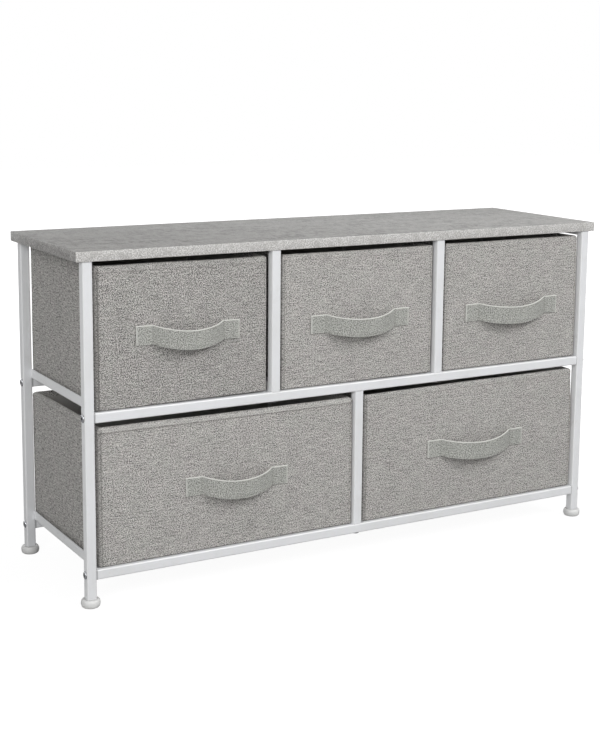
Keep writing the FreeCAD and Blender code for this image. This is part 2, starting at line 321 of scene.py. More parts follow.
# In metres: the steel under the board, and how far its screws sit in from the ends of the
# straps and angles and from the inner edges of the angles.
STEEL = 1.5 * MM
SCREW_INSET = 55.0 * MM
ANGLE_SCREW_INSET = 10.0 * MM


def hexagon(angle):
    """Radius of the bolt's socket at an angle."""
    return SOCKET_HALF / math.cos((angle + math.pi / 6) % (math.pi / 3) - math.pi / 6)


def cross(angle):
    """Radius of the screw's cross recess at an angle."""
    return min(CROSS_REACH, 0.5 / max(abs(math.sin(2 * angle)) ** 0.8, 0.2))


def around(edges):
    """The faces that meet the vertices of some edges."""
    return {face for edge in edges for vertex in edge.verts for face in vertex.link_faces}


def fastener(profile, recess, depth, length):
    """Head towards +Z with a recess of some depth in it, and a shank of some length towards -Z,
    in millimetres.  The rim of the head and the recess get the second material: a painted
    shadow round the rim and painted shade in the recess."""
    shank = profile[0][0]
    tip = [(0, -length), (shank * 0.8, -length), (shank, 0.6 - length)]
    bm = spun(tip + profile, FASTENER_STEPS)
    widest = max(radius for radius, height in profile) * MM
    for face in bm.faces:
        centre = face.calc_center_median()
        # Painted shadow: the rim of the head takes the dark material.
        if centre.z > 0 and centre.to_2d().length > 0.96 * widest:
            face.material_index = 1
    rim = [edge for edge in bm.edges if edge.is_boundary]
    for sink, taper in ((0.0, 1.0), (depth * MM, 0.8)):
        extruded = bmesh.ops.extrude_edge_only(bm, edges=rim)["geom"]
        rim = [item for item in extruded if isinstance(item, bmesh.types.BMEdge) and item.is_boundary]
        for vertex in {v for edge in rim for v in edge.verts}:
            radius = recess(math.atan2(vertex.co.y, vertex.co.x)) * MM * taper
            flat = Vector((vertex.co.x, vertex.co.y, 0)).normalized() * radius
            vertex.co = flat + Vector((0, 0, vertex.co.z - sink))
    bmesh.ops.contextual_create(bm, geom=rim)
    # Painted shade: the sides and bottom of the recess take the dark material.
    for face in around(rim):
        face.material_index = 1
    return outward(bm)


def facing(point, direction):
    """Placement that puts a fastener's head at a point, looking in a direction."""
    turn = Vector(direction).to_track_quat("Z", "Y").to_matrix().to_4x4()
    return Matrix.Translation(point) @ turn


def zinc_plate():
    material, place = new_material("zinc_plated_steel")
    grain = place.cloud(1400.0, 3.0, 0.6)
    dull = place.cloud(220.0, 2.0)
    coat(place, {"Base Color": dull.mix(tone(184, 185, 189), tone(212, 213, 216)),
                 "Metallic": 1.0,
                 "Roughness": grain * 0.15 + dull * 0.12 + 0.08,
                 "Normal": grain.bump(0.00002, 0.4)})
    return material


def recess_shadow():
    """Dark metal as painted shade at the bottom and sides of a socket or cross, and as a painted
    shadow round the rim of a head.
    """
    material, place = new_material("recess_and_rim_painted_shade")
    painted_shade_mottle = place.cloud(900.0, 2.0, 0.6)
    coat(place, {"Base Color": painted_shade_mottle.mix(tone(30, 30, 32), tone(52, 52, 55)),
                 "Metallic": 0.6,
                 "Roughness": painted_shade_mottle * 0.2 + 0.4})
    return material


fastener_steels = [zinc_plate(), recess_shadow()]


def place_fasteners(name, template, placements, node):
    make_piece(name, copies(template, placements), fastener_steels, "frame",
               [node], crease=50)


post_bolts = []
for end, side in CORNERS:
    low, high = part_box(f"post_{end}_{side}")
    outside, outwards = (low.x, -1) if side == "left" else (high.x, 1)
    for row in ("upper", "lower"):
        rail = centre_of(f"rail_{row}_{end}")
        post_bolts.append(facing((outside, rail.y, rail.z), (outwards, 0, 0)))
post_bolt = fastener(BOLT_PROFILE, hexagon, SOCKET_DEPTH, POST_BOLT_LENGTH)
place_fasteners("post_bolts", post_bolt, post_bolts, "frame_bolts")

upright_bolts = []
for name in upright_nodes:
    row, end = name.split("_")[1], name.split("_")[-1]
    upright, rail_low = centre_of(name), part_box(f"rail_{row}_{end}")[0]
    upright_bolts.append(facing((upright.x, upright.y, rail_low.z), (0, 0, -1)))
upright_bolt = fastener(BOLT_PROFILE, hexagon, SOCKET_DEPTH, UPRIGHT_BOLT_LENGTH)
place_fasteners("upright_bolts", upright_bolt, upright_bolts, "divider_bolts")

board_screws = []
for name in ("top_angle_left", "top_strap_left", "top_strap_right", "top_angle_right"):
    low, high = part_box(name)
    middle_x = (low.x + high.x) / 2
    if name == "top_angle_left":
        middle_x = high.x - ANGLE_SCREW_INSET
    if name == "top_angle_right":
        middle_x = low.x + ANGLE_SCREW_INSET
    for y in (low.y + SCREW_INSET, high.y - SCREW_INSET):
        board_screws.append(facing((middle_x, y, high.z - STEEL), (0, 0, -1)))
board_screw = fastener(SCREW_PROFILE, cross, CROSS_DEPTH, SCREW_LENGTH)
place_fasteners("board_screws", board_screw, board_screws, "top_screws")


# ---- Tabletop ----------------------------------------------------------------------------
# A 16 mm board faced on both sides with matt laminate printed like pale cast stone, with soft
# darker clouds and drawn-out streaks.  A lighter band is glued along its four edges.

def stone_laminate():
    material, place = new_material("stone_laminate")
    drift = place.stretched(1.0, 1.8)
    clouds = drift.cloud(7.0, 7.0, 0.62).between(0.40, 0.60)
    mottle = place.stretched(1.0, 0.45).cloud(110.0, 5.0, 0.72).between(0.42, 0.58)
    streaks = place.stretched(1.0, 5.5).cloud(9.0, 8.0, 0.7).between(0.48, 0.64)
    veins = 1.0 - (drift.cloud(9.0, 8.0, 0.62) - 0.5).math("ABSOLUTE").between(0.0, 0.025)
    grit = place.cloud(420.0, 3.0, 0.75).between(0.38, 0.62)
    pits = place.cloud(300.0, 4.0, 0.65).between(0.34, 0.44, 1.0, 0.0)
    scores = place.stretched(1.0, 2.2).cloud(26.0, 7.0, 0.72).between(0.32, 0.45, 0.5, 0.0)
    # Painted shade: the laminate gets darker towards the board's left end.
    painted_shade_left = place.part(0).between(-0.5, 0.3, 0.28, 0.0)
    colour = clouds.mix(tone(110, 109, 107), tone(146, 145, 143))
    for share, layer in ((mottle * 0.68, tone(174, 173, 171)), (streaks * 0.5, tone(178, 177, 175)),
                         (veins * 0.4, tone(180, 178, 175)), (grit * 0.45, tone(178, 177, 175)),
                         (pits * 0.6, tone(88, 86, 84)), (scores, tone(100, 98, 95)),
                         (painted_shade_left, tone(96, 94, 92))):
        colour = share.mix(colour, layer)
    worn = place.cloud(14.0, 4.0, 0.65)
    coat(place, {"Base Color": colour,
                 "Roughness": worn * 0.16 + clouds * 0.05 + 0.42,
                 "Specular IOR Level": 0.25,
                 "Normal": (grit * 0.4 - pits + clouds).bump(0.00004, 0.5)})
    return material


def edge_band(name, dark, light):
    """Glued edging, printed with the same stone in short flecks along the edge."""
    material, place = new_material(name)
    fleck = place.cloud(480.0, 3.0, 0.75)
    soft = place.cloud(90.0, 4.0, 0.65)
    colour = fleck.between(0.38, 0.62).mix(dark, light)
    coat(place, {"Base Color": (soft.between(0.4, 0.7) * 0.5).mix(colour, dark),
                 "Roughness": fleck * 0.12 + 0.4,
                 "Normal": fleck.bump(0.00004, 0.5)})
    return material


def round_edges(bm, edges, radius, segments):
    bmesh.ops.bevel(bm, geom=edges, offset=radius, affect="EDGES", segments=segments, profile=0.5,
                    material=-1)


def tabletop():
    """The board, with one band's material on its long edges and another's on its short ones."""
    bm = block(*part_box("tabletop"))
    round_edges(bm, bm.edges[:], 1.0 * MM, 3)
    for face in bm.faces:
        if abs(face.normal.z) < 0.95:
            face.material_index = 1 if abs(face.normal.y) > 0.5 else 2
    return bm


long_band = edge_band("stone_edge_long", tone(152, 150, 147), tone(220, 219, 217))
short_band = edge_band("stone_edge_short", tone(114, 112, 110), tone(196, 194, 192))
make_piece("tabletop_board", tabletop(), [stone_laminate(), long_band, short_band], "frame",
           ["tabletop"], crease=40)


# ---- Drawer bodies -----------------------------------------------------------------------
# Each drawer is a sewn box of heathered linen-look cloth over fibreboard stiffeners, lined with
# thin felted non-woven.  The cloth is turned over the top into a 10 mm hem, and the walls meet
# in narrow raised seams at the corners.  It bows a little, as every drawer of this kind does.

# How each drawer differs from a plain box, in millimetres: the round of its top corners, how
# far its right wall leans in, how far its bottom edge lifts at the right, how far the left
# wall's rear end stands out, the shift of the whole drawer and of its right wall alone, and the
# height of the rim at its left end, middle and right end.  Then how plainly the hem shows at the
# ends and at the sides, and the left and right seams at the ends, with 1 as the most, both in
# shape and in painted shade; the left seams are set stronger, as painted shade cast by the tube
# to their left.  For the strap: how far right of the middle and above its height it sits, how
# far it slopes, its length.
DRAWERS = {
    "upper_left": {
        "seed": 3.0, "round": 4.0, "lean": 0.0, "lift": 1.8, "skew": 0.5, "shift": (0.0, -2.2),
        "rim": (0.8, 0.0, 0.0), "hem": (0.55, 0.12), "seams": (1.0, 0.3),
        "strap": (6.4, 4.2, 1.0, 179.0)},
    "upper_middle": {
        "seed": 11.0, "round": 3.5, "lean": 0.0, "lift": 0.9, "skew": 0.0, "shift": (0.0, 0.0),
        "rim": (0.0, -0.4, 0.3), "hem": (0.45, 0.12), "seams": (0.6, 0.35),
        "strap": (1.2, -2.6, 0.0, 193.0)},
    "upper_right": {
        "seed": 23.0, "round": 3.5, "lean": 1.0, "lift": 0.3, "skew": 0.5, "shift": (0.0, 0.0),
        "rim": (1.2, 1.2, 1.5), "hem": (0.3, 0.12), "seams": (0.5, 0.35),
        "strap": (-2.0, -6.0, -1.0, 204.0)},
    "lower_left": {
        "seed": 37.0, "round": 7.5, "lean": 1.0, "lift": 0.2, "skew": 4.2, "shift": (2.0, 1.0),
        "rim": (0.5, -1.3, -0.7), "hem": (1.0, 0.6), "seams": (0.7, 0.4),
        "strap": (9.5, 1.0, 1.0, 185.0)},
    "lower_right": {
        "seed": 51.0, "round": 4.5, "lean": 5.0, "lift": 0.2, "skew": 0.5, "shift": (0.5, 0.0),
        "rim": (-0.5, 1.0, 2.3), "hem": (0.5, 0.3), "seams": (0.8, 0.4),
        "strap": (6.0, 4.6, 0.0, 209.0)},
}
WALL = 4.6 * MM
FLOOR = 0.8 * MM
FOLD = 1.3 * MM
GRID = 12.0 * MM

# Below the top edge: the row of hem stitches and the fold over it, and the cuts that shape them.
HEM = 10.5 * MM
HEM_FOLD = 4.8 * MM
HEM_ROWS = [d * MM for d in (2.2, 3.8, 4.8, 5.8, 8.8, 9.6, 10.5, 11.4, 13.0, 16.0)]
FOOT_ROWS = [2.4 * MM, 4.0 * MM]

# In from the corners: the row beside the raised seam, its cuts, and the edge of the binding.
SEAM = 4.6 * MM
CORNER_BAND = 8.2 * MM
SEAM_ROWS = [2.6 * MM, 3.6 * MM, SEAM, 5.8 * MM, CORNER_BAND]

# How far the walls bow, draw in at the top, swell between the seams, wave and ripple.
SIDE_BOW = 1.3 * MM
FRONT_BOW = 2.4 * MM
PINCH = 1.2 * MM
PILLOW = 0.5 * MM
WAVES = Vector((0.7, 0.7, 0.8)) * MM
RIPPLES = 0.28 * MM
WAVE_SEED = 5

# noise_vector starts from the generator's state, which would otherwise come from the clock.
noise.seed_set(WAVE_SEED)


def hump(value, centre, reach):
    """1 at the centre, falling smoothly to 0 at reach on both sides of it."""
    return max(0.0, 1.0 - ((value - centre) / reach) ** 2)


def clamp(share):
    return min(max(share, 0.0), 1.0)


def step(value, low, high):
    """A smooth way from 0 at low to 1 at high."""
    share = clamp((value - low) / (high - low))
    return share * share * (3 - 2 * share)


def settle(point, box, habit):
    """Where a point of a drawer lies once its walls have bowed, leaned and softened."""
    low, high = box
    across, along, up = (clamp((point[i] - low[i]) / (high[i] - low[i])) for i in range(3))
    side, end = 2 * across - 1, 2 * along - 1
    right = max(side, 0.0) ** 3
    swell, tuck = math.sin(math.pi * up), up ** 5 * PINCH
    moved = Vector(point)
    moved.x += (swell * SIDE_BOW - tuck) * side * math.sin(math.pi * along)
    moved.y += (swell * FRONT_BOW - tuck) * end * math.sin(math.pi * across) ** 0.6
    whole, right_wall = habit["shift"]
    moved.x += (whole + right_wall * right) * MM
    moved.x -= habit["lean"] * MM * right * step(up, 0.45, 1.0) ** 2
    moved.x += habit["skew"] * MM * min(side, 0.0) ** 3 * along ** 2
    moved.z += habit["lift"] * MM * step(across, 0.1, 1.0) * max(-end, 0.0) ** 4 * (1 - up) ** 6
    rim_left, rim_middle, rim_right = habit["rim"]
    tilt, arch = (rim_right - rim_left) / 2, (rim_left + rim_right) / 2 - rim_middle
    rim = rim_middle + tilt * side + arch * side ** 2
    moved.z += rim * MM * up ** 3 * (1.0 - 0.5 * along)
    radius = habit["round"] * MM
    below = high.z - point[2]
    drop = 0.0
    for axis in (0, 1):
        inside = min(point[axis] - low[axis], high[axis] - point[axis])
        if inside < radius and below < radius:
            p, q = 1 - max(inside, 0) / radius, 1 - max(below, 0) / radius
            towards = 1 if point[axis] - low[axis] < high[axis] - point[axis] else -1
            moved[axis] += towards * radius * (p - p * math.sqrt(1 - q * q / 2))
            drop = max(drop, radius * (q - q * math.sqrt(1 - p * p / 2)))
    wave = noise.noise_vector(Vector(point) * 8.0 + Vector((habit["seed"],) * 3))
    moved.x += wave.x * WAVES.x * up
    moved.y += wave.y * WAVES.y * up
    moved.z += wave.z * WAVES.z * up ** 4 - drop
    return moved


def relief(point, box, habit, on_end):
    """How far the sewn layers stand out from a drawer's outer face at a point of it, and how much
    painted shade the cloth gets there: 1 at the bottom of a groove, some on the raised corner
    strips and along the bottom edge, and below 0, painted paler, on the band of the hem."""
    low, high = box
    from_left, from_right = point.x - low.x, high.x - point.x
    below, above = high.z - point.z, point.z - low.z
    plain = habit["hem"][0 if on_end else 1]
    hem = step(below, 0.0, 1.5 * MM) * (1 - step(below, 8.8 * MM, HEM))
    folds = hump(below, HEM, 1.3 * MM) + 0.4 * hump(below, HEM_FOLD, 1.0 * MM)
    # Painted shade in the folds of the hem, and the band of the hem painted paler.
    rise, depth = (0.6 * hem - 0.5 * folds) * plain, (0.6 * folds - 0.3 * hem) * plain
    if on_end:
        edge = min(from_left, from_right)
        seam = habit["seams"][0 if from_left < from_right else 1]
        raised, groove = 1 - step(edge, 2.6 * MM, 3.8 * MM), hump(edge, SEAM, 1.3 * MM)
        rise += (0.9 * raised - 0.8 * groove) * seam
        # Painted shade on the raised corner strip and in its groove, for the shadow of the tube beside
        # the drawer.
        raised, groove = 1 - step(edge, 2.8 * MM, 4.4 * MM), hump(edge, SEAM, 1.4 * MM)
        depth += (0.9 * groove + 0.55 * raised) * seam
    # Along the bottom edge the cloth is drawn in and gets painted shade, a contact shadow.
    under = 0.9 * (1 - step(above, 0.5 * MM, 2.4 * MM))
    across = from_left / (high.x - low.x) if on_end else (point.y - low.y) / (high.y - low.y)
    up = above / (high.z - low.z)
    pillow = PILLOW * math.sin(math.pi * clamp(across)) * math.sin(math.pi * clamp(up))
    ripple = RIPPLES * noise.noise(point * 38.0 + Vector((habit["seed"], 0, 0)))
    return (rise - under) * MM + pillow + ripple, depth + under


def slice_at(bm, axis, places):
    """Cut a bmesh across an axis at each of the places, to give it the points that shape it."""
    for place in places:
        point, normal = Vector((0, 0, 0)), Vector((0, 0, 0))
        point[axis], normal[axis] = place, 1.0
        geometry = bm.verts[:] + bm.edges[:] + bm.faces[:]
        bmesh.ops.bisect_plane(bm, geom=geometry, dist=1e-6, plane_co=point, plane_no=normal)


def spread(low, high, gap):
    """Evenly spaced places between two ends, at most gap apart."""
    count = math.ceil((high - low) / gap)
    return [low + (high - low) * i / count for i in range(1, count)]


def both_ends(low, high, distances):
    """Places at some distances in from both ends."""
    return [low + d for d in distances] + [high - d for d in distances]


def cloth_coordinates(bm):
    """A UV map in metres, flat on each wall, so that the weave follows the cloth."""
    layer = bm.loops.layers.uv.new("cloth")
    for face in bm.faces:
        size = [abs(part) for part in face.normal]
        if size[2] > 0.7:
            first, second = 0, 1
        elif size[0] > size[1]:
            first, second = 1, 2
        else:
            first, second = 0, 2
        for loop in face.loops:
            loop[layer].uv = (loop.vert.co[first], loop.vert.co[second])


def line_faces(bm, box):
    """Lining inside a drawer below the turned hem, with a binding up its inner corners."""
    low, high = box
    lowest, highest = low.z + 0.5 * FLOOR, high.z - HEM - 1.5 * MM
    for face in bm.faces:
        centre = face.calc_center_median()
        from_x = min(centre.x - low.x, high.x - centre.x)
        from_y = min(centre.y - low.y, high.y - centre.y)
        if min(from_x, from_y) > WALL - 0.3 * MM and lowest < centre.z < highest:
            in_corner = max(from_x, from_y) < CORNER_BAND
            face.material_index = 2 if in_corner else 1


def drawer_box(low, high):
    """An open box of cloth with folded edges, cut up finely where it is sewn."""
    bm = block(low, high)
    top = max(bm.faces, key=lambda face: face.calc_center_median().z)
    bmesh.ops.inset_region(bm, faces=[top], thickness=WALL, use_even_offset=True)
    bmesh.ops.inset_region(bm, faces=[top], thickness=1e-6, depth=-(high.z - low.z - FLOOR))
    round_edges(bm, [edge for edge in bm.edges if edge.calc_face_angle(0) > 1.0], FOLD, 2)
    slice_at(bm, 0, both_ends(low.x, high.x, SEAM_ROWS)
             + spread(low.x + CORNER_BAND, high.x - CORNER_BAND, GRID))
    slice_at(bm, 1, both_ends(low.y, high.y, [CORNER_BAND])
             + spread(low.y + CORNER_BAND, high.y - CORNER_BAND, GRID))
    slice_at(bm, 2, [high.z - d for d in HEM_ROWS] + [low.z + d for d in FOOT_ROWS]
             + spread(low.z + FOOT_ROWS[-1], high.z - HEM_ROWS[-1], GRID))
    return bm


def drawer_body(name):
    low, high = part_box(f"cover_{name}")
    habit = DRAWERS[name]
    bm = drawer_box(low, high)
    cloth_coordinates(bm)
    line_faces(bm, (low, high))
    # This layer carries painted shade, and below 0 a paler hem band, into the cloth's colour.
    seam = bm.verts.layers.float.new("seam")
    bm.normal_update()
    places = []
    for vertex in bm.verts:
        point, normal = vertex.co.copy(), vertex.normal
        inset = min(point.x - low.x, high.x - point.x, point.y - low.y, high.y - point.y)
        place = settle(point, (low, high), habit)
        if inset < 0.6 * WALL and abs(normal.z) < 0.9:
            on_end = abs(normal.y) >= abs(normal.x) - 0.3
            rise, vertex[seam] = relief(point, (low, high), habit, on_end)
            place += Vector((normal.x, normal.y, 0)).normalized() * rise
        places.append(place)
    for vertex, place in zip(bm.verts, places):
        vertex.co = place
    return bm


def yarns(number, run):
    """Tone of one set of yarns: each yarn's own, flecked along its run."""
    own = number.math("FLOOR")
    sockets = {"X": own * 7.31, "Y": run * 0.09}
    long_part = own.node("ShaderNodeCombineXYZ", {}, sockets).cloud(1.0, 2.0, 0.6)
    sockets = {"X": own * 3.17, "Y": run * 0.42, "Z": 5.0}
    short_part = own.node("ShaderNodeCombineXYZ", {}, sockets).cloud(1.0, 1.0, 0.5)
    return long_part * 0.55 + short_part * 0.8 - 0.675


def plain_weave(flat, pitch):
    """Fleck and height of yarns `pitch` metres apart, which wander a little."""
    sockets = {"Vector": flat, "Scale": 90.0, "Detail": 1.0}
    wander = flat.node("ShaderNodeTexNoise", {}, sockets, "Color")
    moved = wander.node("ShaderNodeVectorMath", {"operation": "MULTIPLY_ADD"},
                        {0: wander, 1: (0.0009, 0.0009, 0.0), 2: flat})
    u, v = moved.part(0) * (1 / pitch), moved.part(1) * (1 / pitch)
    crossing = (u * math.pi).math("SINE") * (v * math.pi).math("SINE")
    warp_on_top = crossing.between(-0.12, 0.12)
    fleck = yarns(u, v) * warp_on_top * 1.3 + yarns(v, u) * (1.0 - warp_on_top) * 1.8
    return fleck, crossing.math("ABSOLUTE")


def woven(name, pitch, dark, light, hues, grit, slub, sheen, dim=0.0):
    """Plain weave of heathered yarns `pitch` metres apart, drawn over the cloth's own UV map,
    with painted shade where the seam layer is above 0 and painted paler where it is below 0, and
    darker by `dim`, as painted shade, on panels that face the front or the rear."""
    material, place = new_material(name)
    flat = place.node("ShaderNodeUVMap", {"uv_map": "cloth"}, {})
    fleck, height = plain_weave(flat, pitch)
    normal = place.node("ShaderNodeNewGeometry", {}, {}, "Normal")
    side_wall = normal.part(0).math("ABSOLUTE").between(0.5, 0.8)
    round_grain = flat.cloud(620.0, 2.0, 0.6) - 0.5
    drawn_grain = flat.stretched(140.0, 500.0).cloud(1.0, 2.0, 0.6) - 0.5
    grain = round_grain + (drawn_grain * 0.54 - round_grain) * side_wall
    long_slub = flat.stretched(36.0, 600.0).cloud(1.0, 3.0, 0.6) - 0.5
    short_slub = flat.stretched(900.0, 110.0).cloud(1.0, 2.0, 0.6) - 0.5
    patches = place.cloud(24.0, 4.0, 0.6) - 0.5
    shade = fleck + grain * grit + (long_slub * 2.6 + short_slub * 0.9) * slub
    # The last term is painted shade: panels that face the front or the rear get darker by `dim`.
    shade = shade + patches * 0.15 + 0.5 + (side_wall - 1.0) * dim
    share = shade.node("ShaderNodeMapRange", {}, {"Value": shade, "From Min": -0.2, "From Max": 1.2})
    hue = place.cloud(30.0, 4.0, 0.7).between(0.36, 0.64).mix(*hues)
    colour = share.node("ShaderNodeMix", {"data_type": "RGBA", "blend_type": "MULTIPLY"},
                        {0: 1.0, 6: share.mix(dark, light), 7: hue}, 2)
    # Painted shade where the seam layer is above 0: grooves, folds, corner strips, a drawer's bottom
    # edge.  Below 0 it paints a paler hem band and a highlight along a strap's edges.
    seam = place.node("ShaderNodeAttribute", {"attribute_name": "seam"}, {}, "Fac")
    colour = seam.between(0.0, 1.0, 0.0, 0.62).mix(colour, tone(52, 50, 48))
    colour = (seam * -1.0).between(0.0, 1.0).mix(colour, tone(214, 214, 209))
    coat(place, {"Base Color": colour,
                 "Roughness": 0.92 - fleck * 0.06,
                 "Specular IOR Level": 0.25,
                 "Sheen Weight": sheen,
                 "Sheen Roughness": 0.5,
                 "Normal": (height + fleck * 0.25 + long_slub * 0.8).bump(0.0003, 0.55)})
    return material


LINEN_PITCH = 1.05 * MM
LINEN_HUES = [(1.0, 0.971, 0.965, 1.0), (0.993, 0.984, 0.965, 1.0)]
DOT_PITCH = 1.6 * MM


def linen_cloth(name, dim):
    return woven(name, LINEN_PITCH, tone(40, 40, 39), tone(224, 223, 220), LINEN_HUES,
                 grit=4.1, slub=0.36, sheen=0.1, dim=dim)


def felted_lining(name, felt, fluff):
    """Thin non-woven with the rows of small welded dots that bind its fibres."""
    material, place = new_material(name)
    flat = place.node("ShaderNodeUVMap", {"uv_map": "cloth"}, {})
    u, v = flat.part(0) * (math.pi / DOT_PITCH), flat.part(1) * (math.pi / DOT_PITCH)
    dots = ((u + v).math("SINE") * (u - v).math("SINE")).math("ABSOLUTE").between(0.55, 0.9)
    fibres = flat.stretched(1.0, 0.35).cloud(1500.0, 3.0, 0.7)
    patches = place.cloud(35.0, 3.0, 0.6)
    colour = (fibres * 0.6 + patches * 0.4).between(0.3, 0.7).mix(felt, fluff)
    coat(place, {"Base Color": (dots * 0.4).mix(colour, felt),
                 "Roughness": 0.85 - dots * 0.25,
                 "Specular IOR Level": 0.3,
                 "Normal": (fibres * 0.4 - dots).bump(0.00012, 0.6)})
    return material


def smooth(piece):
    """Finish a sewn piece with one level of subdivision."""
    smoother = piece.modifiers.new("smoother", "SUBSURF")
    smoother.levels = smoother.render_levels = 1


linen = linen_cloth("heathered_linen_cloth", 0.0)
# A copy of the linen with painted shade on its front and rear panels.
linen_painted_shade = linen_cloth("linen_cloth_painted_shade", 0.09)
lining = felted_lining("felted_lining", tone(170, 168, 164), tone(186, 184, 180))
binding = felted_lining("lining_binding", tone(192, 191, 189), tone(206, 205, 203))

for name in DRAWERS:
    # The upper left drawer gets the copy with painted shade.
    cloth = linen_painted_shade if name == "upper_left" else linen
    smooth(make_piece(f"cloth_body_{name}", drawer_body(name), [cloth, lining, binding],
                      f"drawer_{name}", [f"cover_{name}", f"boards_{name}"]))


# ---- Drawer stitching --------------------------------------------------------------------
# Polyester thread, a shade darker than the cloth, in lock stitch: one row round the hem, inside
# and out, and one beside each raised corner seam.  It is pulled a little way into the cloth.

STITCH_PITCH = 4.2 * MM
STITCH_HALF = 1.65 * MM
THREAD = 0.36 * MM
THREAD_SINK = 0.3 * MM
HEM_TRIM = 3.0 * MM
SEAM_TRIM = 4.0 * MM
SEAM_TOP = 14.0 * MM


def stitches(bm, start, end, sink):
    """A row of stitches between two points, each a small spindle pulled in by `sink`."""
    run = Vector(end) - Vector(start)
    count = max(1, int(run.length / STITCH_PITCH))
    turn = run.to_track_quat("Z", "Y").to_matrix().to_4x4()
    shape = Matrix.Diagonal((THREAD, THREAD, STITCH_HALF, 1.0))
    row = bmesh.new()
    for i in range(count):
        place = Vector(start) + run * ((i + 0.5) / count) - Vector(sink)
        bmesh.ops.create_uvsphere(row, u_segments=6, v_segments=4, radius=1.0,
                                  matrix=Matrix.Translation(place) @ turn @ shape)
    absorb(bm, row)


def drawer_thread(name):
    low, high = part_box(f"cover_{name}")
    bm = bmesh.new()
    z = high.z - HEM
    for inset, sink in ((0.0, THREAD_SINK), (WALL, -THREAD_SINK)):
        x0, x1, y0, y1 = low.x + inset, high.x - inset, low.y + inset, high.y - inset
        for y, depth in ((y0, -sink), (y1, sink)):
            stitches(bm, (x0 + HEM_TRIM, y, z), (x1 - HEM_TRIM, y, z), (0, depth, 0))
        for x, depth in ((x0, -sink), (x1, sink)):
            stitches(bm, (x, y0 + HEM_TRIM, z), (x, y1 - HEM_TRIM, z), (depth, 0, 0))
    for x in (low.x + SEAM, high.x - SEAM):
        for y, depth in ((low.y, -THREAD_SINK), (high.y, THREAD_SINK)):
            stitches(bm, (x, y, low.z + SEAM_TRIM), (x, y, high.z - SEAM_TOP), (0, depth, 0))
    for vertex in bm.verts:
        vertex.co = settle(vertex.co, (low, high), DRAWERS[name])
    return bm


def sewing_thread():
    material, place = new_material("sewing_thread")
    twist = place.cloud(2400.0, 2.0, 0.6)
    patches = place.cloud(300.0, 2.0, 0.6)
    coat(place, {"Base Color": patches.mix(tone(126, 123, 118), tone(150, 147, 142)),
                 "Roughness": twist * 0.2 + 0.6,
                 "Normal": twist.bump(0.0001, 0.6)})
    return material


thread = sewing_thread()
for name in DRAWERS:
    make_piece(f"thread_{name}", drawer_thread(name), [thread], f"drawer_{name}")


# ---- Drawer bottoms ----------------------------------------------------------------------
# A loose fibreboard sheet wrapped in the same non-woven as the lining, dropped in on the
# cloth floor.  It lifts out to fold the drawer flat.

BOTTOM_CROWN = 0.9 * MM
BOTTOM_WAVES = 0.15 * MM
BOTTOM_GRID = 25.0 * MM
BOTTOM_MARGIN = 2.0 * MM


def drawer_bottom(name):
    low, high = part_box(f"bottom_{name}")
    bm = block(low, high)
    round_edges(bm, bm.edges[:], 1.0 * MM, 2)
    for axis in (0, 1):
        slice_at(bm, axis, spread(low[axis] + BOTTOM_MARGIN, high[axis] - BOTTOM_MARGIN, BOTTOM_GRID))
    cloth_coordinates(bm)
    middle, half = (low + high) / 2, (high - low) / 2
    for vertex in bm.verts:
        x, y = vertex.co.xy
        crown = BOTTOM_CROWN * hump(x, middle.x, half.x) * hump(y, middle.y, half.y)
        wave = BOTTOM_WAVES * noise.noise(Vector((x, y, DRAWERS[name]["seed"])) * 20)
        vertex.co.z += crown + wave
    return bm


for name in DRAWERS:
    make_piece(f"lined_bottom_{name}", drawer_bottom(name), [lining], f"drawer_{name}",
               [f"bottom_{name}"])


# ---- Strap handles -----------------------------------------------------------------------
# A 30 mm strap of paler, tighter cloth, folded double with its edges stitched, and sewn flat to
# the drawer front at both ends.  Between the tabs it stands out for the fingers and sags.

STRAP_HEIGHT = 31.0 * MM
STRAP_THICK = 2.5 * MM
STRAP_TAB = 29.0 * MM
STRAP_BEND = 5.0 * MM
STRAP_BOW, STRAP_SAG = 20.0 * MM, 9.0 * MM
STRAP_RISE = 0.5 * MM
STRAP_PITCH = 0.9 * MM
STRAP_HUES = [(0.996, 1.0, 0.983, 1.0), (1.0, 0.998, 0.985, 1.0)]

# Stitching: up from the long edges, and along from where a tab starts and from its end.  The
# crease lies in the bend, and the cuts stand round all of them.
EDGE_ROW = 2.6 * MM
TAB_ROW = 0.8 * MM
END_ROW = 3.0 * MM
CREASE_ROW = -5.0 * MM
TAB_CUTS = [d * MM for d in (-6.2, -5.0, -3.8, -2.4, -1.0, 0.0, 0.8, 1.6, 2.6)]
EDGE_CUTS = [2.0 * MM, EDGE_ROW, 3.6 * MM]
ROW_TRIM = 3.5 * MM


